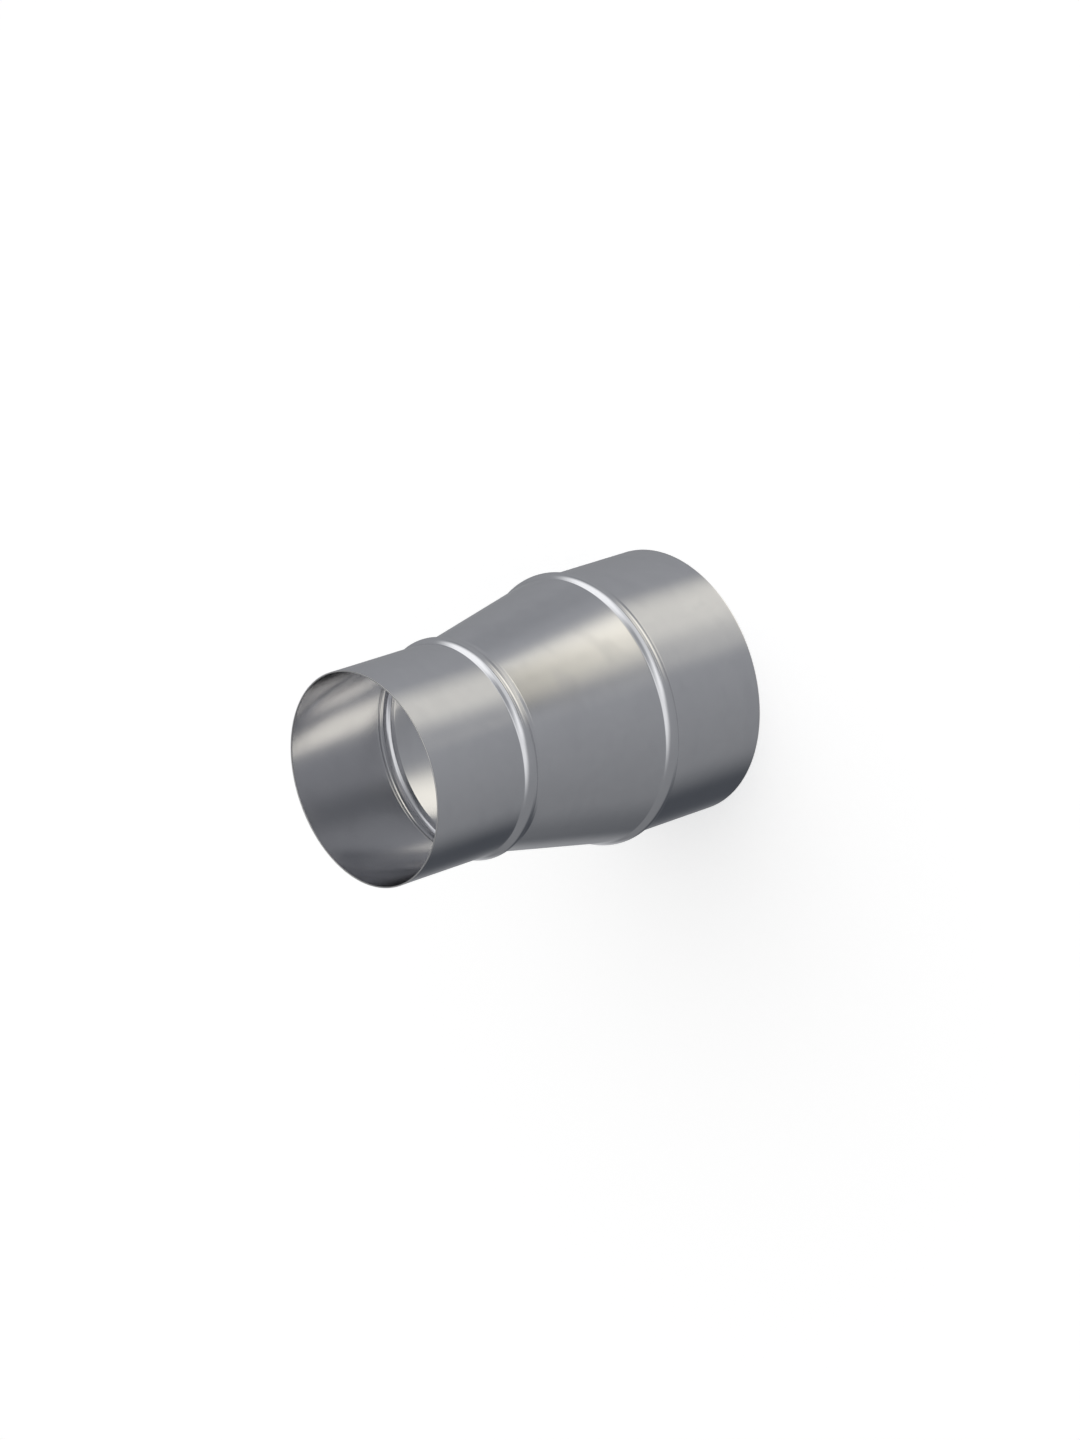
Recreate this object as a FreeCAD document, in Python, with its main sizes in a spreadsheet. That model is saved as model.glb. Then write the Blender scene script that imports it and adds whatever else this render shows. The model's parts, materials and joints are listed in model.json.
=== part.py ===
import FreeCAD, Part
import math
import os

import Sketcher

# Concentric duct reducer, pressed in one piece from galvanised sheet steel.
# It stands on the rim of its large spigot. +Z runs along its axis, from the large end to the small
# end, and the origin is the centre of the large rim. All sizes are in millimetres.

# Driving sizes: radii and lengths of the sheet's outer skin, as a fitter would measure them
SIZES = {
    "sheet_thickness": 0.6,       # the same everywhere
    "large_spigot_radius": 61.9,  # slides into a duct of 125 mm bore
    "small_spigot_radius": 49.4,  # slides into a duct of 100 mm bore
    "large_spigot_length": 55.0,  # large rim to the crest of the large bead
    "small_spigot_length": 55.0,  # small rim to the crest of the small bead
    "bead_spacing": 74.0,         # crest to crest
    "bead_height": 1.9,           # crest above the spigot
    "bead_width": 8.0,            # foot to foot
    "neck_length": 2.0,           # foot of the small bead to the corner of the cone
}

doc = FreeCAD.newDocument("duct_reducer")
sheet = doc.addObject("Spreadsheet::Sheet", "sizes")
for row, (name, value) in enumerate(SIZES.items(), start=1):
    sheet.set(f"A{row}", name)
    sheet.set(f"B{row}", str(value))
    sheet.setAlias(f"B{row}", name)
doc.recompute()

# The same sizes as plain numbers. They draw each line of the section where the sketch then holds it.
large_radius = float(sheet.large_spigot_radius)
small_radius = float(sheet.small_spigot_radius)
large_crest_z = float(sheet.large_spigot_length)
small_crest_z = large_crest_z + float(sheet.bead_spacing)
small_rim_z = small_crest_z + float(sheet.small_spigot_length)
bead_height = float(sheet.bead_height)
half_bead = float(sheet.bead_width) / 2

# A bead is a round arc over a chord: its radius follows from the chord's width and the rise
bead_radius = (half_bead ** 2 + bead_height ** 2) / (2 * bead_height)

# Formulas that bind more than one dimension of the sketch
BEAD_RADIUS = "((sizes.bead_width / 2) ^ 2 + sizes.bead_height ^ 2) / (2 * sizes.bead_height)"
SMALL_CREST = "sizes.large_spigot_length + sizes.bead_spacing"


def point(r, z):
    """A point of the section: radius across, height up, in the sketch's own plane."""
    return FreeCAD.Vector(r, z, 0)


# Corners of the section, upwards from the large rim
large_rim = point(large_radius, 0)
large_low_foot = point(large_radius, large_crest_z - half_bead)
large_centre = point(large_radius + bead_height - bead_radius, large_crest_z)
large_high_foot = point(large_radius, large_crest_z + half_bead)
neck_corner = point(small_radius, small_crest_z - half_bead - float(sheet.neck_length))
small_low_foot = point(small_radius, small_crest_z - half_bead)
small_centre = point(small_radius + bead_height - bead_radius, small_crest_z)
small_high_foot = point(small_radius, small_crest_z + half_bead)
small_rim = point(small_radius, small_rim_z)
small_rim_centre = point(0, small_rim_z)
large_rim_centre = point(0, 0)

# The part's only piece, and the plane through its axis in which its section is drawn
body = doc.addObject("PartDesign::Body", "reducer")
body.Label = "reducer"
side_plane = next(f for f in body.Origin.OriginFeatures if f.Role == "XZ_Plane")
section = body.newObject("Sketcher::SketchObject", "outside_section")
section.AttachmentSupport = [(side_plane, "")]
section.MapMode = "FlatFace"


def add_line(start, end):
    """A straight stretch of the section."""
    return section.addGeometry(Part.LineSegment(start, end))


def add_bead(centre, low_foot, high_foot):
    """The round top of a bead, from its lower foot to its upper one."""
    angles = [math.atan2(foot.y - centre.y, foot.x - centre.x) for foot in (low_foot, high_foot)]
    circle = Part.Circle(centre, FreeCAD.Vector(0, 0, 1), bead_radius)
    return section.addGeometry(Part.ArcOfCircle(circle, *angles))


large_end = add_line(large_rim_centre, large_rim)
large_spigot = add_line(large_rim, large_low_foot)
large_bead = add_bead(large_centre, large_low_foot, large_high_foot)
cone = add_line(large_high_foot, neck_corner)
neck = add_line(neck_corner, small_low_foot)
small_bead = add_bead(small_centre, small_low_foot, small_high_foot)
small_spigot = add_line(small_high_foot, small_rim)
small_end = add_line(small_rim, small_rim_centre)
axis = add_line(small_rim_centre, large_rim_centre)

# Which point of a line or an arc a constraint holds
START, END, CENTRE = range(1, 4)
ORIGIN = (-1, START)
VERTICAL_AXIS = -2


def tie(kind, *ends):
    """A constraint without a size."""
    section.addConstraint(Sketcher.Constraint(kind, *ends))


# A closed outline, square at the rims and upright at the walls
outline = [large_end, large_spigot, large_bead, cone, neck, small_bead, small_spigot, small_end, axis]
for line, following in zip(outline, outline[1:] + outline[:1]):
    tie("Coincident", line, END, following, START)
tie("Coincident", large_end, START, *ORIGIN)
tie("PointOnObject", axis, START, VERTICAL_AXIS)
for line in (large_end, small_end):
    tie("Horizontal", line)
for line in (large_spigot, neck, small_spigot):
    tie("Vertical", line)

# The two feet of a bead stand on one radius
tie("Vertical", large_spigot, END, cone, START)
tie("Vertical", neck, END, small_spigot, START)


def hold(name, formula, kind, *ends):
    """A dimension of the section, bound to the sheet."""
    index = section.addConstraint(Sketcher.Constraint(kind, *ends))
    section.renameConstraint(index, name)
    section.setExpression(f"Constraints.{name}", formula)


def hold_radius(name, formula, line, end, r):
    """A point's distance from the axis."""
    hold(name, formula, "DistanceX", *ORIGIN, line, end, r)


def hold_height(name, formula, line, end, z):
    """A point's height above the large rim."""
    hold(name, formula, "DistanceY", *ORIGIN, line, end, z)


hold_radius("large_radius", "sizes.large_spigot_radius", large_spigot, START, large_radius)
hold_radius("small_radius", "sizes.small_spigot_radius", small_spigot, END, small_radius)
hold_radius("large_bead_inset", f"sizes.large_spigot_radius + sizes.bead_height - {BEAD_RADIUS}",
            large_bead, CENTRE, large_centre.x)
hold_radius("small_bead_inset", f"sizes.small_spigot_radius + sizes.bead_height - {BEAD_RADIUS}",
            small_bead, CENTRE, small_centre.x)
hold_height("large_crest", "sizes.large_spigot_length", large_bead, CENTRE, large_crest_z)
hold_height("small_crest", SMALL_CREST, small_bead, CENTRE, small_crest_z)
hold_height("small_rim", f"{SMALL_CREST} + sizes.small_spigot_length", small_spigot, END, small_rim_z)
hold_height("neck_corner", f"{SMALL_CREST} - sizes.bead_width / 2 - sizes.neck_length",
            neck, START, neck_corner.y)
hold("large_bead_radius", BEAD_RADIUS, "Radius", large_bead, bead_radius)
hold("small_bead_radius", BEAD_RADIUS, "Radius", small_bead, bead_radius)
doc.recompute()

# The section turned about the axis, as one solid form
form = body.newObject("PartDesign::Revolution", "outside_form")
form.Profile = section
form.ReferenceAxis = (section, ["V_Axis"])
form.Angle = 360
doc.recompute()


def flat_end(z):
    """Name of the form's flat round end at a height."""
    for index, face in enumerate(form.Shape.Faces, start=1):
        if isinstance(face.Surface, Part.Plane) and abs(face.CenterOfMass.z - z) < 0.001:
            return f"Face{index}"
    raise RuntimeError(f"no flat end at {z}")


# The form hollowed to the sheet's thickness and open at both ends, which leaves the beads hollow too
wall = body.newObject("PartDesign::Thickness", "sheet_wall")
wall.Base = (form, [flat_end(0), flat_end(small_rim_z)])
wall.Reversed = True
wall.Join = "Intersection"
wall.setExpression("Value", "sizes.sheet_thickness")
body.Tip = wall
doc.recompute()

# Nothing may have failed quietly
for feature in doc.Objects:
    if "Invalid" in feature.State or "Error" in feature.State:
        raise RuntimeError(f"{feature.Name} failed: {feature.State}")
shape = body.Shape
if shape.isNull() or not shape.isValid() or len(shape.Solids) != 1:
    raise RuntimeError("reducer is not one valid solid")

crest_diameter = 2 * (large_radius + bead_height)
print(f"reducer: {crest_diameter:.1f} mm across its large bead and {shape.BoundBox.ZLength:.1f} mm long")
print(f"{len(shape.Faces)} faces, {shape.Volume:.0f} mm3 of sheet")

os.makedirs("parts", exist_ok=True)
shape.exportStep("parts/reducer.step")
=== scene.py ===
# %% [markdown]
# # A duct reducer of galvanised sheet steel
# A reducer takes a round air line from a wide size down to a narrower one. It is pressed from one sheet: a plain
# collar at each end, a shallow cone between them, and at the foot of each collar a hollow bead, which stops
# whatever is pushed over the collar.
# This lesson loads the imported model, keeps its sizes, and gives the steel its fine form, its finish and a small
# studio to stand in.

import json
import math

import bpy
from mathutils import Matrix, Vector


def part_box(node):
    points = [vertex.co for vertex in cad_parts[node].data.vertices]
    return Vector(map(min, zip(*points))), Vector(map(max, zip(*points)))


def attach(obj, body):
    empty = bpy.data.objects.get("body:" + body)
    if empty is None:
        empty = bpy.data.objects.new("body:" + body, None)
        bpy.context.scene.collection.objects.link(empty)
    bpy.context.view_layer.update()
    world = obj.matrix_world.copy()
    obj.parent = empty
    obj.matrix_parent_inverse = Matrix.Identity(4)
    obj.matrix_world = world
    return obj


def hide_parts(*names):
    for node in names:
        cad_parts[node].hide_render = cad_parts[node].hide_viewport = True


MM = 0.001

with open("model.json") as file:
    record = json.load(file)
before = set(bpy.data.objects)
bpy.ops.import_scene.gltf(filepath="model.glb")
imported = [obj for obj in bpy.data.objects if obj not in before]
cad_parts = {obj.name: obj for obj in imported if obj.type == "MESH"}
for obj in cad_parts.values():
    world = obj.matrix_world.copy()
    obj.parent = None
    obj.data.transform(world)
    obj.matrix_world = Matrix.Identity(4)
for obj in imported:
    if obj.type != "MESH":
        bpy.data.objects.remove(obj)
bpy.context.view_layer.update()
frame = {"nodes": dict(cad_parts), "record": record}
scene = bpy.context.scene
scene.view_settings.view_transform = "Standard"
print("nodes:", sorted(frame["nodes"]))

# %% [markdown]
# ## The sizes
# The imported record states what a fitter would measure, the outside radius of each collar, and the node's box
# gives the length. The rest is what the press tools leave: the sheet's gauge, the height and width of a bead,
# and the small radii at its feet. They are written once, in metres.

# %% Read the driving sizes
SHEET = 0.6 * MM
BEAD_HEIGHT = 1.9 * MM
BEAD_WIDTH = 8 * MM
BEAD_FROM_RIM = 55 * MM
FOOT_ROUND = 0.8 * MM
NECK_LENGTH = 2 * MM
NECK_ROUND = 2.5 * MM
CUT_ROUND = 0.12 * MM

mounts = {mount["name"]: mount for mount in frame["record"]["mounts"]}
large_radius = mounts["large_spigot"]["dims"]["r_mm"] * MM
small_radius = mounts["small_spigot"]["dims"]["r_mm"] * MM
node_low, node_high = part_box("reducer")
length = node_high.z - node_low.z
large_crest = BEAD_FROM_RIM
small_crest = length - BEAD_FROM_RIM
bead_radius = ((BEAD_WIDTH / 2) ** 2 + BEAD_HEIGHT**2) / (2 * BEAD_HEIGHT)
print(f"length {length / MM:.1f} mm")
print(f"collars {2 * large_radius / MM:.1f} and {2 * small_radius / MM:.1f} mm across")
print(f"a bead is an arc of {bead_radius / MM:.2f} mm")

# %% [markdown]
# ## The section of the sheet
# Seen in a cut through its axis, the sheet is a thin line of straight stretches and arcs. Rollers leave every
# bend round, and both skins of the sheet bend about the same centres, so one function can draw the skin at
# any depth: a bulge loses that depth from its radius and a hollow gains it. Points are written as (radius,
# height) pairs, and an arc is only its centre, its radius and the two angles that it runs between.

# %% Draw one skin of the sheet
STEP = math.radians(4)
FEWEST_STEPS = 2


def towards(start, end):
    """Angle of the direction from one point of the section to another."""
    return math.atan2(end.y - start.y, end.x - start.x)


def at_angle(angle):
    """Unit vector of the section at an angle from the outward radius."""
    return Vector((math.cos(angle), math.sin(angle)))


def arc(centre, radius, start, end, step_angle=STEP):
    """Points along an arc, its two ends included."""
    steps = max(FEWEST_STEPS, round(abs(end - start) / step_angle))
    return [centre + radius * at_angle(start + (end - start) * step / steps) for step in range(steps + 1)]


def foot_on_wall(wall_radius, bead_centre, side):
    """Centre of the round in the corner between an upright wall and a bead."""
    across = wall_radius + FOOT_ROUND - bead_centre.x
    rise = math.sqrt((bead_radius + FOOT_ROUND) ** 2 - across**2)
    return Vector((wall_radius + FOOT_ROUND, bead_centre.y + side * rise))


large_bead = Vector((large_radius + BEAD_HEIGHT - bead_radius, large_crest))
small_bead = Vector((small_radius + BEAD_HEIGHT - bead_radius, small_crest))
cone_foot = Vector((large_radius, large_crest + BEAD_WIDTH / 2))
cone_top = Vector((small_radius, small_crest - BEAD_WIDTH / 2 - NECK_LENGTH))
cone_up = (cone_top - cone_foot).normalized()
cone_out = Vector((cone_up.y, -cone_up.x))
lean = math.atan2(cone_out.y, cone_out.x)

large_low_foot = foot_on_wall(large_radius, large_bead, -1)
small_low_foot = foot_on_wall(small_radius, small_bead, -1)
small_high_foot = foot_on_wall(small_radius, small_bead, 1)

# The upper foot of the large bead touches the cone instead of a wall
reach = cone_foot + FOOT_ROUND * cone_out - large_bead
along = reach.dot(cone_up)
large_high_foot = large_bead + reach + cone_up * (
    math.sqrt(along**2 - reach.length_squared + (bead_radius + FOOT_ROUND) ** 2) - along
)

# The bend between the cone and the neck
neck = Vector((small_radius + NECK_ROUND, cone_top.y + NECK_ROUND * math.tan(lean / 2)))


def skin(depth):
    """The bends of the skin at a depth inside the outer one, from the large end to the small end."""
    bulge = bead_radius - depth
    foot = FOOT_ROUND + depth
    bend = NECK_ROUND + depth
    low = towards(large_bead, large_low_foot), towards(large_bead, large_high_foot)
    high = towards(small_bead, small_low_foot), towards(small_bead, small_high_foot)
    return [
        arc(large_low_foot, foot, math.pi, low[0] + math.pi)
        + arc(large_bead, bulge, *low)[1:]
        + arc(large_high_foot, foot, low[1] + math.pi, lean + math.pi)[1:],
        arc(neck, bend, lean + math.pi, math.pi),
        arc(small_low_foot, foot, math.pi, high[0] + math.pi)
        + arc(small_bead, bulge, *high)[1:]
        + arc(small_high_foot, foot, high[1] + math.pi, math.pi)[1:],
    ]


print("cone leans", round(math.degrees(lean), 2), "degrees")
print("points on the outer bends:", [len(bend) for bend in skin(0)])

# %% [markdown]
# ## The whole section
# The outer skin goes up, the cut edge of the small rim leads inwards, the inner skin comes back down and the
# cut edge of the large rim closes the loop. A straight stretch needs no points of its own, but smooth shading
# averages the faces round a point, so a bend would tint the whole stretch beside it. A settling point half a
# millimetre from each bend keeps that average where it belongs, and one more goes in the middle.

# %% Join skins and rims into one loop
SETTLE = 0.5 * MM
SHORTEST_SETTLED = 4 * SETTLE
CUT_STEP = math.radians(30)


def settled(start, end):
    """The settling points of a straight stretch between two bends."""
    stretch = end - start
    if stretch.length < SHORTEST_SETTLED:
        return []
    settle = stretch.normalized() * SETTLE
    return [start + settle, start + stretch / 2, end - settle]


def joined(stretches):
    """One list of points from several bends, with the straight stretches between them settled."""
    points = list(stretches[0])
    for stretch in stretches[1:]:
        points += settled(points[-1], stretch[0]) + stretch
    return points


def rim(outer_radius, height, side):
    """The cut edge of a rim, from the outer skin to the inner one. side is 1 for a rim that faces up."""
    level = height - side * CUT_ROUND
    outer = Vector((outer_radius - CUT_ROUND, level))
    inner = Vector((outer_radius - SHEET + CUT_ROUND, level))
    quarter = side * math.pi / 2
    outer_edge = arc(outer, CUT_ROUND, 0, quarter, CUT_STEP)
    inner_edge = arc(inner, CUT_ROUND, quarter, 2 * quarter, CUT_STEP)
    return outer_edge + inner_edge


large_rim = rim(large_radius, 0, -1)
small_rim = rim(small_radius, length, 1)
inner_bends = [list(reversed(bend)) for bend in reversed(skin(SHEET))]
loop = joined([large_rim[::-1], *skin(0), small_rim, *inner_bends])
loop += settled(loop[-1], loop[0])
print(len(loop), "points in the section's loop")

# %% [markdown]
# ## Writing node trees as expressions
# Both the form and the finishes are node trees. A small class wraps an output socket, so that `1 - mask` or
# `height / 2` adds the Math node that it needs, and one method adds any other node from its type, its
# settings and what feeds its sockets.

# %% Wrap node sockets
def socket_named(sockets, name):
    """A socket by its index, or by its name among those that the node's settings leave in use."""
    if isinstance(name, int):
        return sockets[name]
    return next(socket for socket in sockets if socket.name == name and not socket.is_unavailable)


class Net:
    """One node tree."""

    def __init__(self, tree):
        self.tree = tree

    def add(self, kind, settings=None, feeds=None):
        """A node with its settings and inputs; returns its first output in use."""
        node = self.tree.nodes.new(kind)
        for name, value in (settings or {}).items():
            setattr(node, name, value)
        for name, value in (feeds or {}).items():
            socket = socket_named(node.inputs, name)
            if isinstance(value, Wire):
                self.tree.links.new(value.socket, socket)
            else:
                socket.default_value = value
        first_output = next((output for output in node.outputs if not output.is_unavailable), None)
        return Wire(self, first_output, node)

    def math(self, operation, *values):
        """A Math node on one or more values."""
        return self.add("ShaderNodeMath", {"operation": operation}, dict(enumerate(values)))


class Wire:
    """An output socket with Python's arithmetic. Other outputs of its node are read with [name]."""

    def __init__(self, net, socket, node):
        self.net, self.socket, self.node = net, socket, node

    def __getitem__(self, name):
        return Wire(self.net, socket_named(self.node.outputs, name), self.node)

    def __add__(self, other):
        return self.net.math("ADD", self, other)

    def __sub__(self, other):
        return self.net.math("SUBTRACT", self, other)

    def __rsub__(self, other):
        return self.net.math("SUBTRACT", other, self)

    def __mul__(self, other):
        return self.net.math("MULTIPLY", self, other)

    def __truediv__(self, other):
        return self.net.math("DIVIDE", self, other)

    def __rtruediv__(self, other):
        return self.net.math("DIVIDE", other, self)

    def __mod__(self, other):
        return self.net.math("FLOORED_MODULO", self, other)

    def __pow__(self, other):
        return self.net.math("POWER", self, other)

    __radd__ = __add__
    __rmul__ = __mul__


# %% [markdown]
# ## Turning the section into the reducer
# The whole piece is one rule: each point of the section goes round the axis. A Screw or Spin would do it too,
# but a tree can also lay out the UV map on the way. It takes a flat grid with a row for each point of the
# loop and a column for each step round the axis, looks up the section's point for each row and turns it by
# the column's angle. The first and last rows and columns then meet and are welded, so the steel is one closed
# form. The marks of the section, such as where the sheet is worked or cut, go along for the finish to read.

# %% Build the turning tree
SEGMENTS = 256
WELD = 0.001 * MM
MARKS = ("worked", "cut", "rubbed", "inside")


def turning_tree(name):
    """Geometry Nodes that turn a section round the vertical axis."""
    tree = bpy.data.node_groups.new(name, "GeometryNodeTree")
    tree.is_modifier = True
    sockets = tree.interface
    sockets.new_socket("Section", in_out="INPUT", socket_type="NodeSocketGeometry")
    sockets.new_socket("Segments", in_out="INPUT", socket_type="NodeSocketInt")
    sockets.new_socket("Finish", in_out="INPUT", socket_type="NodeSocketMaterial")
    sockets.new_socket("Turned", in_out="OUTPUT", socket_type="NodeSocketGeometry")
    net = Net(tree)
    given = net.add("NodeGroupInput")
    section = given["Section"]
    segments = given["Segments"]
    rows = net.add("GeometryNodeAttributeDomainSize", feeds={"Geometry": section})["Point Count"]
    columns = segments + 1
    grid = net.add("GeometryNodeMeshGrid", feeds={"Vertices X": rows + 1, "Vertices Y": columns})
    index = net.add("GeometryNodeInputIndex")
    row = net.math("FLOOR", index / columns)
    column = index - row * columns
    part_of_turn = column / segments

    def looked_up(kind, value):
        """A value of the section's point that stands in this row."""
        feeds = {"Geometry": section, "Value": value, "Index": row % rows}
        return net.add("GeometryNodeSampleIndex", {"data_type": kind}, feeds)

    def from_section(name):
        """A named attribute of the section at this row's point."""
        stored = net.add("GeometryNodeInputNamedAttribute", {"data_type": "FLOAT"}, {"Name": name})
        return looked_up("FLOAT", stored["Attribute"])

    def keep(shape, kind, domain, name, value):
        """The shape with a named value stored on it."""
        feeds = {"Geometry": shape, "Name": name, "Value": value}
        return net.add("GeometryNodeStoreNamedAttribute", {"data_type": kind, "domain": domain}, feeds)

    place = looked_up("FLOAT_VECTOR", net.add("GeometryNodeInputPosition"))
    axes = net.add("ShaderNodeSeparateXYZ", feeds={0: place})
    angle = part_of_turn * (2 * math.pi)
    turned = net.add("ShaderNodeCombineXYZ", feeds={
        "X": axes["X"] * net.math("COSINE", angle),
        "Y": axes["X"] * net.math("SINE", angle),
        "Z": axes["Z"],
    })
    moved = net.add("GeometryNodeSetPosition", feeds={"Geometry": grid, "Position": turned})
    chart = net.add("ShaderNodeCombineXYZ", feeds={"X": part_of_turn, "Y": from_section("travelled")})
    shape = keep(moved, "FLOAT2", "CORNER", "UVMap", chart)
    for mark in MARKS:
        shape = keep(shape, "FLOAT", "POINT", mark, from_section(mark))
    welded = net.add("GeometryNodeMergeByDistance", feeds={"Geometry": shape, "Distance": WELD})
    outward = net.add("GeometryNodeFlipFaces", feeds={"Mesh": welded})
    smooth = net.add("GeometryNodeSetShadeSmooth", feeds={"Geometry": outward, "Shade Smooth": True})
    real = net.add("GeometryNodeRealizeInstances", feeds={"Geometry": smooth})
    finished = net.add("GeometryNodeSetMaterial", feeds={"Geometry": real, "Material": given["Finish"]})
    net.add("NodeGroupOutput", feeds={"Turned": finished})
    return tree


def modifier_inputs(modifier, **values):
    """Set a modifier's inputs by their names, through each socket's identifier."""
    for item in modifier.node_group.interface.items_tree:
        if item.in_out == "INPUT" and item.name in values:
            modifier[item.identifier] = values[item.name]


turning = turning_tree("turn_section")
print("nodes in the tree:", len(turning.nodes))

# %% [markdown]
# ## The finish of the steel
# Galvanised sheet is steel under a thin coat of zinc. New sheet is all metal and nearly a mirror, a light and
# slightly blue grey. What keeps it from looking like glass is small: the zinc sets in faint crystals, the
# coat is a little cloudier in some places than in others, and the press and the rollers leave fine lines
# round the axis. They burnish the outer skin, and the beads most, and leave the inner skin duller. So the
# base colour hardly changes, and the roughness and a very low bump do the work.
# Each pattern has a size along each axis, and three recipes say how much of it goes into the zinc's tone, its
# roughness and its relief.

# %% List the patterns and the recipes
LOW_ZINC = (0.72, 0.72, 0.74, 1)
HIGH_ZINC = (0.8, 0.8, 0.813, 1)
CUT_STEEL = (0.62, 0.61, 0.595, 1)
CUT_SHOWS = 0.8

CLOUD_SIZE = [32 * MM] * 3
MOTTLE_SIZE = [7 * MM] * 3
SWELL_SIZE = [16 * MM, 16 * MM, 55 * MM]
CRYSTAL_SIZE = [5 * MM] * 3
RUB_SIZE = [0.4 * MM, 0.4 * MM, 12 * MM]
SMUDGE_SIZE = [20 * MM, 20 * MM, 12 * MM]
LINE_LENGTH = 40 * MM
LINE_SPACING = 0.35 * MM

# Where in the noise a rub or a smudge begins, and where it is full
RUB_RANGE = (0.6, 0.75)
SMUDGE_RANGE = (0.54, 0.76)

# How much each pattern counts. The relief is in millimetres.
TONE = {"cloud": 0.5, "mottle": 0.25, "crystal": 0.16, "lines": 0.1, "worked": 0.15, "smudge": -0.3}
BASE_ROUGHNESS = 0.085
ROUGHNESS = {"cloud": 0.06, "mottle": 0.015, "lines": 0.02, "crystal": 0.004, "smudge": 0.03,
             "rubs": 0.05, "inside": 0.035, "cut": 0.15, "worked": -0.02}
RELIEF = {"swell": 0.006, "lines": 0.0003, "rubs": -0.0004}
print("patterns in the recipes:", sorted({*TONE, *ROUGHNESS, *RELIEF}))

# %% [markdown]
# ## Mixing the finish
# Every pattern is read from the object's own coordinates, or from the UV map and the marks that the turning
# tree stores. The lines follow the distance travelled along the sheet, so they stay evenly spaced round the
# beads too. Only the colour, the roughness and the normal vary over the surface.

# %% Make the galvanised finish
def stretched(net, place, sizes):
    """Object coordinates divided by the size of a pattern along each axis."""
    per_axis = [1 / size for size in sizes]
    return net.add("ShaderNodeVectorMath", {"operation": "MULTIPLY"}, {0: place, 1: per_axis})


def noise(net, vector, detail=2.0):
    """Cloudy noise from 0 to 1, centred on a half, with features one unit of its vector wide."""
    return net.add("ShaderNodeTexNoise", feeds={"Vector": vector, "Scale": 1, "Detail": detail})


def between(net, value, low, high):
    """0 where the value is under the low mark, 1 over the high one, smooth between them."""
    feeds = {"Value": value, "From Min": low, "From Max": high}
    return net.add("ShaderNodeMapRange", {"interpolation_type": "SMOOTHSTEP"}, feeds)


def colour_mix(net, factor, first, second):
    """A blend of two colours."""
    return net.add("ShaderNodeMix", {"data_type": "RGBA"}, {"Factor": factor, "A": first, "B": second})


def mixed(patterns, recipe, base=0):
    """A base value plus each pattern of a recipe times how much it counts."""
    return sum((patterns[name] * weight for name, weight in recipe.items()), base)


def zinc_patterns(net):
    """The marks and patterns of the coat, by name."""
    patterns = {mark: net.add("ShaderNodeAttribute", {"attribute_name": mark})["Fac"] for mark in MARKS}
    place = net.add("ShaderNodeTexCoord")["Object"]
    axes = net.add("ShaderNodeSeparateXYZ", feeds={0: place})
    chart = net.add("ShaderNodeUVMap", {"uv_map": "UVMap"})
    travelled = net.add("ShaderNodeSeparateXYZ", feeds={0: chart})["Y"]
    patterns["cloud"] = noise(net, stretched(net, place, CLOUD_SIZE))
    patterns["mottle"] = noise(net, stretched(net, place, MOTTLE_SIZE), 3.0)
    patterns["swell"] = noise(net, stretched(net, place, SWELL_SIZE), 1.0)
    crystals = net.add("ShaderNodeTexVoronoi", feeds={
        "Vector": stretched(net, place, CRYSTAL_SIZE),
        "Scale": 1,
    })
    patterns["crystal"] = net.add("ShaderNodeSeparateColor", feeds={0: crystals["Color"]})["Red"]
    patterns["lines"] = noise(net, net.add("ShaderNodeCombineXYZ", feeds={
        "X": axes["X"] / LINE_LENGTH,
        "Y": axes["Y"] / LINE_LENGTH,
        "Z": travelled / LINE_SPACING,
    }), 1.0)
    scratches = noise(net, stretched(net, place, RUB_SIZE), 1.0)
    patterns["rubs"] = patterns["rubbed"] * between(net, scratches, *RUB_RANGE)
    patterns["smudge"] = between(net, noise(net, stretched(net, place, SMUDGE_SIZE), 1.0), *SMUDGE_RANGE)
    return patterns


def galvanised(name):
    """Zinc coated sheet: cloudy satin, faint crystals, turned lines, burnished bends and bare cut edges."""
    material = bpy.data.materials.new(name)
    material.use_nodes = True
    net = Net(material.node_tree)
    patterns = zinc_patterns(net)
    zinc = colour_mix(net, mixed(patterns, TONE), LOW_ZINC, HIGH_ZINC)
    varying = {
        "Base Color": colour_mix(net, patterns["cut"] * CUT_SHOWS, zinc, CUT_STEEL),
        "Roughness": mixed(patterns, ROUGHNESS, BASE_ROUGHNESS),
        "Normal": net.add("ShaderNodeBump", feeds={"Height": mixed(patterns, RELIEF), "Distance": MM}),
    }
    shader = material.node_tree.nodes["Principled BSDF"]
    for socket_name, wire in varying.items():
        net.tree.links.new(wire.socket, shader.inputs[socket_name])
    shader.inputs["Metallic"].default_value = 1
    return material


steel = galvanised("galvanised_sheet")
print("nodes in the finish:", len(steel.node_tree.nodes))

# %% [markdown]
# ## The reducer
# The loop becomes a mesh of edges with five values at each point: the distance travelled along the sheet, how
# sharply the sheet is bent there, whether the shears cut it there, how much it is rubbed in use, and whether
# it is on the inner skin. The tree runs once as a modifier, its result is kept as a plain mesh, and that mesh
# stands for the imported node.

# %% Turn the reducer
FULLY_WORKED = 5 * MM
RIM_ZONE = 2 * CUT_ROUND
ON_COLLAR = 0.01 * MM


def bend_at(points, i):
    """How sharply the sheet bends at a point: 0 where it is straight, 1 at a radius of 5 mm or less."""
    first = points[i] - points[i - 1]
    second = points[(i + 1) % len(points)] - points[i]
    return min(1, abs(first.angle_signed(second)) * 2 * FULLY_WORKED / (first.length + second.length))


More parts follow.
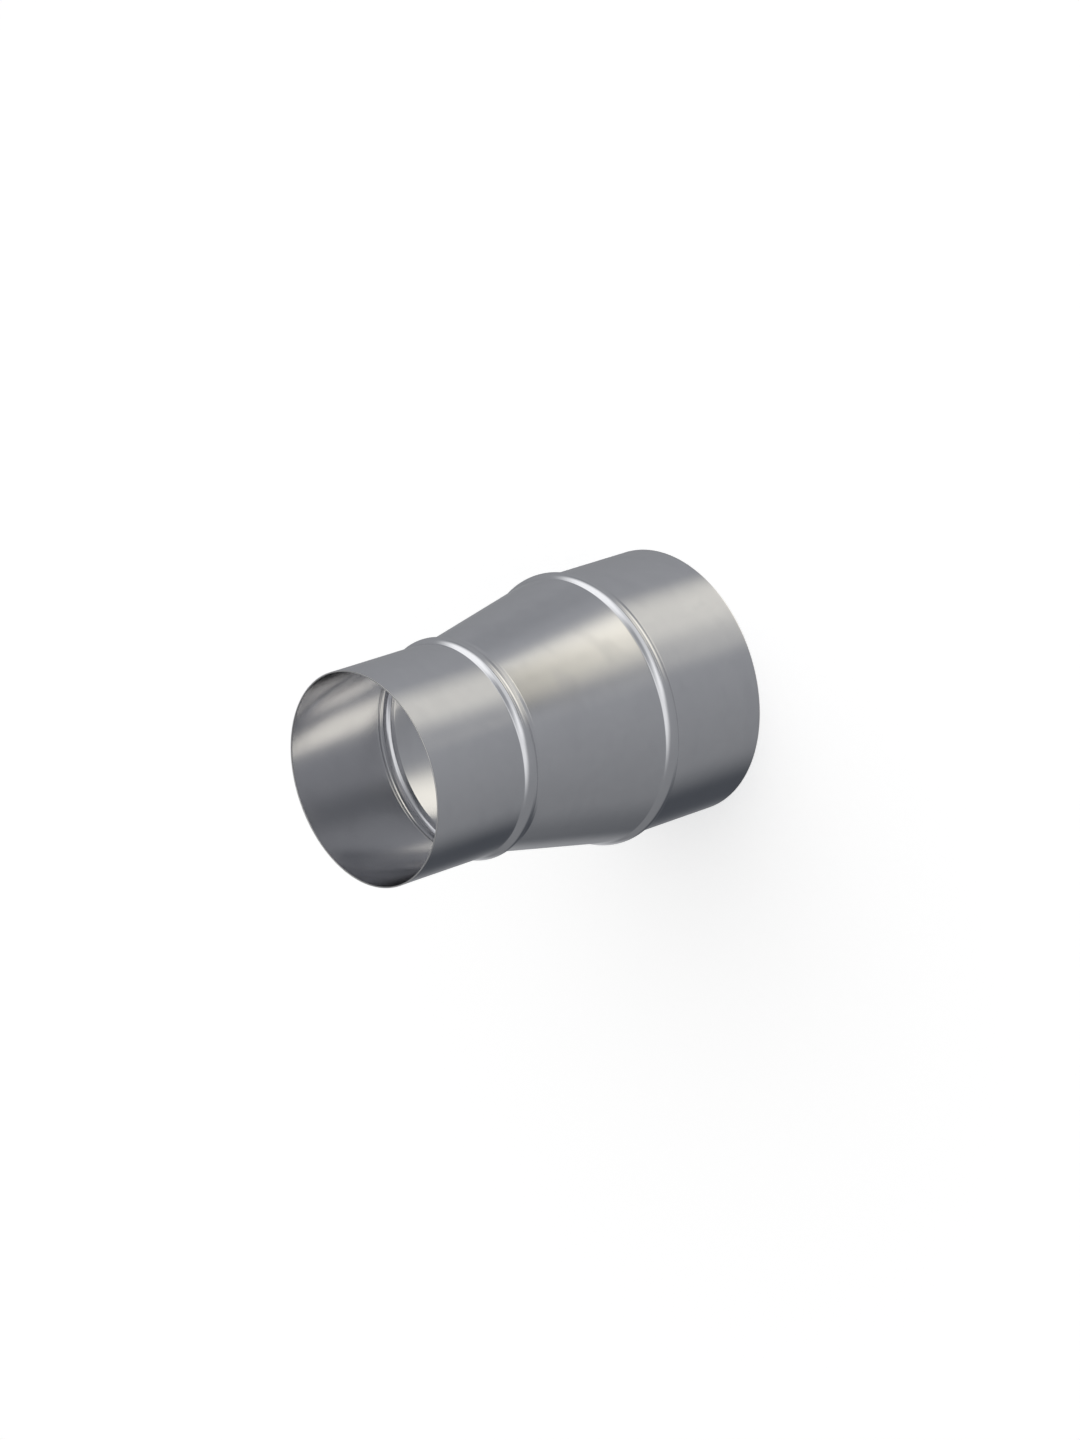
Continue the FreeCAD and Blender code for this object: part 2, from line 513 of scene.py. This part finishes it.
def rub_at(point):
    """How much the outer skin is rubbed in use: nothing between the beads, most at the rims."""
    collar_length = BEAD_FROM_RIM - BEAD_WIDTH / 2
    from_middle = abs(point.y - length / 2)
    return max(0, from_middle - length / 2 + collar_length) / collar_length


def section_object(name, points):
    """The loop as a mesh of edges, with what the tree needs stored at each point."""
    mesh = bpy.data.meshes.new(name)
    count = len(points)
    places = [(point.x, 0, point.y) for point in points]
    edges = [(i, (i + 1) % count) for i in range(count)]
    mesh.from_pydata(places, edges, [])
    for mark in ("travelled", *MARKS):
        mesh.attributes.new(mark, "FLOAT", "POINT")
    small_rim_at = max(range(count), key=lambda i: points[i].y)
    so_far = 0
    for i, point in enumerate(points):
        so_far += (point - points[i - 1]).length if i else 0
        at_rim = min(point.y, length - point.y) < RIM_ZONE
        inside = i > small_rim_at
        marks = {
            "travelled": so_far,
            "worked": 0 if at_rim else bend_at(points, i),
            "cut": at_rim,
            "rubbed": 0 if inside else rub_at(point),
            "inside": inside,
        }
        for mark, value in marks.items():
            mesh.attributes[mark].data[i].value = value
    piece = bpy.data.objects.new(name, mesh)
    scene.collection.objects.link(piece)
    return piece


reducer = section_object("reducer_sheet", loop)
modifier = reducer.modifiers.new("turn", "NODES")
modifier.node_group = turning
modifier_inputs(modifier, Segments=SEGMENTS, Finish=steel)
graph = bpy.context.evaluated_depsgraph_get()
turned_mesh = bpy.data.meshes.new_from_object(reducer.evaluated_get(graph), depsgraph=graph)
reducer.modifiers.remove(modifier)
reducer.data = turned_mesh
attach(reducer, "root")
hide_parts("reducer")

faces = turned_mesh.polygons
collar_faces = [face for face in faces if abs(face.center.xy.length - large_radius) < ON_COLLAR]
outwards = sum(1 for face in collar_faces if face.normal.xy.dot(face.center.xy) > 0)
print(len(faces), "faces,", sum(len(face.vertices) - 2 for face in faces), "triangles")
print(outwards, "of the large collar's", len(collar_faces), "outer faces point outwards")
print("stored with the mesh:", [attribute.name for attribute in turned_mesh.attributes])

# %% [markdown]
# ## The floor
# A plain pale floor that runs past the picture on every side. It is a matt grey that takes the reducer's soft
# shadow, and a glow is added so that the unshaded floor reaches white. The steel doesn't mirror the floor:
# the lower half of the room stands for what lies below, so the floor is hidden from mirrored rays and shadow
# rays.

# %% Lay the floor
FLOOR_HALF = 6
FLOOR_GREY = (0.8, 0.8, 0.8, 1)
FLOOR_GLOW = 0.54

floor_mesh = bpy.data.meshes.new("floor")
corners = [(x * FLOOR_HALF, y * FLOOR_HALF, 0) for x, y in ((-1, -1), (1, -1), (1, 1), (-1, 1))]
floor_mesh.from_pydata(corners, [], [(0, 1, 2, 3)])
floor = bpy.data.objects.new("floor", floor_mesh)
scene.collection.objects.link(floor)
floor.visible_glossy = False
floor.visible_shadow = False

pale = bpy.data.materials.new("pale_floor")
pale.use_nodes = True
pale.node_tree.nodes.clear()
floor_net = Net(pale.node_tree)
matt = floor_net.add("ShaderNodeBsdfDiffuse", feeds={"Color": FLOOR_GREY})
glow = floor_net.add("ShaderNodeEmission", feeds={"Strength": FLOOR_GLOW})
both = floor_net.add("ShaderNodeAddShader", feeds={0: matt, 1: glow})
floor_net.add("ShaderNodeOutputMaterial", feeds={"Surface": both})
floor_mesh.materials.append(pale)
print("the floor is", 2 * FLOOR_HALF, "m wide")

# %% [markdown]
# ## The room
# Metal shows what stands round it, so the room is the most of its look. A studio would hang soft panels of
# light and black cards round the piece. Here they are painted on the world, each one a rectangle with soft
# edges in the direction where it hangs, because a distant panel lights every part of the piece alike. The
# tall cream panel gives the bright band down the cone, the white ones the bright flanks of the beads, and the
# long black card the thin dark line in each bead. The room itself is a dim blue grey, a little lighter to the
# panels' side. The numbers were fitted until the steel looked as it does in one reference picture, and then
# rounded, so they suit this piece and this view.

# %% List the panels
WHITE_LIGHT = (1, 1, 1)
CREAM_LIGHT = (1.06, 1.0, 0.84)
ROOM_TINT = (0.975, 1.0, 1.05)
ROOM_LEVEL = 0.413
ROOM_SLOPE = (0.043, 0.102, 0.004)
DARKEST = 0.06
ROOM_STRENGTH = 0.735

# Azimuth, elevation and roll; width and height; softness of its sides and of its ends, all in degrees.
# Then the light that it adds, and the light's colour. A black card takes light away.
PANELS = [
    ((63, -48.5, 0), (30.5, 57), (22.5, 2.8), 0.48, CREAM_LIGHT),  # tall panel
    ((56.5, -53, 0), (43, 17.5), (23.5, 6.5), 0.62, CREAM_LIGHT),  # its bright middle
    ((52.5, -20.8, -3), (34, 5.2), (27, 3.8), 1.18, CREAM_LIGHT),  # its bright upper end
    ((58.5, -29.5, 0), (19.5, 10), (20, 8), -0.11, WHITE_LIGHT),  # black card under that end
    ((25, -23.5, -1), (19, 7.5), (16, 2), 0.32, CREAM_LIGHT),  # its soft side
    ((44.5, -13.2, -5), (54.5, 11.6), (18.5, 0.3), -0.61, WHITE_LIGHT),  # long black card over it
    ((45.5, -10, 0.5), (62, 7.1), (17, 0.3), 0.78, WHITE_LIGHT),  # long low panel
    ((48.5, 7.5, -2), (49, 33), (21.5, 13.5), 0.49, WHITE_LIGHT),  # panel at eye height
    ((98.5, 18, 8), (52, 51), (25.5, 30), 1.08, WHITE_LIGHT),  # broad side panel
    ((112, -18, 0), (30, 16), (20, 12), -0.1, WHITE_LIGHT),  # black card under it
    ((15, 16.5, -30.5), (23.5, 32), (24, 29), 0.81, WHITE_LIGHT),  # leaning panel in front
    ((-13, 42.5, -47), (51, 45.5), (35, 39), 0.8, WHITE_LIGHT),  # leaning panel over it
    ((-123.5, -44, -1), (54.5, 29), (33, 21), -0.22, WHITE_LIGHT),  # black card low down behind
    ((-156, -5, 0), (43, 60), (25.5, 24), 0.54, WHITE_LIGHT),  # tall panel behind
    ((0, 90, 0), (50, 50), (20, 20), 1.2, WHITE_LIGHT),  # overhead panel
]
black_cards = sum(1 for *_, level, colour in PANELS if level < 0)
print(len(PANELS) - black_cards, "panels of light and", black_cards, "black cards")

# %% [markdown]
# ## Painting the room
# The world knows one thing, the direction of the ray that asks. How far that direction goes along a panel's
# own three axes tells whether it meets the panel, which takes a few dot products and no trigonometry in the
# shader.

# %% Paint the room on the world
def dot(net, vector, axis):
    """How far a direction goes along an axis."""
    return net.add("ShaderNodeVectorMath", {"operation": "DOT_PRODUCT"}, {0: vector, 1: axis})["Value"]


def panel_mask(net, way, hung, size, soft):
    """1 inside a rectangle that hangs in some direction, 0 outside it, soft at its edges."""
    azimuth, elevation, roll = (math.radians(angle) for angle in hung)
    panel_axes = (
        Matrix.Rotation(azimuth, 3, "Z") @ Matrix.Rotation(-elevation, 3, "Y") @ Matrix.Rotation(roll, 3, "X")
    ).col
    ahead = dot(net, way, panel_axes[0])
    mask = None
    for axis, width, blur in zip(panel_axes[1:], size, soft):
        off = net.math("ABSOLUTE", dot(net, way, axis))
        past_edge = off - ahead * math.tan(math.radians(width / 2))
        half_blur = math.radians(blur) / 2
        inside = net.add("ShaderNodeMapRange", {"interpolation_type": "SMOOTHSTEP"}, {
            "Value": past_edge, "From Min": -half_blur, "From Max": half_blur, "To Min": 1, "To Max": 0})
        mask = inside if mask is None else mask * inside
    return mask


def add_up(net, first, second):
    """The sum of two colours."""
    return net.add("ShaderNodeVectorMath", {"operation": "ADD"}, {0: first, 1: second})


def scaled(net, colour, level):
    """A colour times a level."""
    return net.add("ShaderNodeVectorMath", {"operation": "SCALE"}, {0: colour, "Scale": level})


world = bpy.data.worlds.new("room")
scene.world = world
world.use_nodes = True
world.node_tree.nodes.clear()
room_net = Net(world.node_tree)
way = room_net.add("ShaderNodeTexCoord")["Generated"]
light = scaled(room_net, ROOM_TINT, dot(room_net, way, ROOM_SLOPE) + ROOM_LEVEL)
for hung, size, soft, level, colour in PANELS:
    mask = panel_mask(room_net, way, hung, size, soft)
    light = add_up(room_net, light, scaled(room_net, colour, mask * level))
light = room_net.add("ShaderNodeVectorMath", {"operation": "MAXIMUM"}, {0: light, 1: [DARKEST] * 3})
mirrored = room_net.add("ShaderNodeBackground", feeds={"Color": light, "Strength": ROOM_STRENGTH})
print("nodes in the room:", len(world.node_tree.nodes))

# %% [markdown]
# ## The light on the floor
# Only mirrored rays need the whole room. The matt floor gathers light from everywhere, so it gets a plain
# soft light from the panels' side, which renders faster and leaves a soft shadow. Where the camera looks past
# the floor, it sees white.

# %% Choose the light for each kind of ray
KEY_WAY = Vector((0.1, 0.6, 0.8)).normalized()
KEY_LEVEL = 0.9
KEY_FOCUS = 3
FILL_LEVEL = 0.3
PURE_WHITE = (1, 1, 1, 1)

rays = room_net.add("ShaderNodeLightPath")
key = room_net.math("MAXIMUM", dot(room_net, way, KEY_WAY), 0)
soft_key = key**KEY_FOCUS * KEY_LEVEL + FILL_LEVEL
plain = room_net.add("ShaderNodeBackground", feeds={"Color": PURE_WHITE, "Strength": soft_key})
white = room_net.add("ShaderNodeBackground", feeds={"Color": PURE_WHITE})
lit = room_net.add("ShaderNodeMixShader", feeds={0: rays["Is Glossy Ray"], 1: plain, 2: mirrored})
shown = room_net.add("ShaderNodeMixShader", feeds={0: rays["Is Camera Ray"], 1: lit, 2: white})
room_net.add("ShaderNodeOutputWorld", feeds={"Surface": shown})
print("nodes in the world:", len(world.node_tree.nodes))

# %% [markdown]
# ## The camera
# A long lens from well above. It is rolled by more than a quarter turn, so the reducer, which stands on its
# wide end, lies across the picture. The place follows from what it looks at, how far off it is and three
# angles.

# %% Set up the camera
AIM = Vector((-0.0001, 0.0007, 0.0781))
DISTANCE = 2.4628
AZIMUTH, ELEVATION, ROLL = 11.72, 39.247, -108.155
SENSOR_WIDTH = 36
FOCAL_LENGTH = 136.31

camera_data = bpy.data.cameras.new("camera")
camera = bpy.data.objects.new("camera", camera_data)
scene.collection.objects.link(camera)
scene.camera = camera
camera_data.sensor_width = SENSOR_WIDTH
camera_data.lens = FOCAL_LENGTH
camera_turn = (
    Matrix.Rotation(math.radians(AZIMUTH + 90), 4, "Z")
    @ Matrix.Rotation(math.radians(90 - ELEVATION), 4, "X")
    @ Matrix.Rotation(math.radians(ROLL), 4, "Z")
)
camera.matrix_world = Matrix.Translation(AIM + DISTANCE * camera_turn.col[2].to_3d()) @ camera_turn
print("camera at", [round(value, 4) for value in camera.matrix_world.translation])
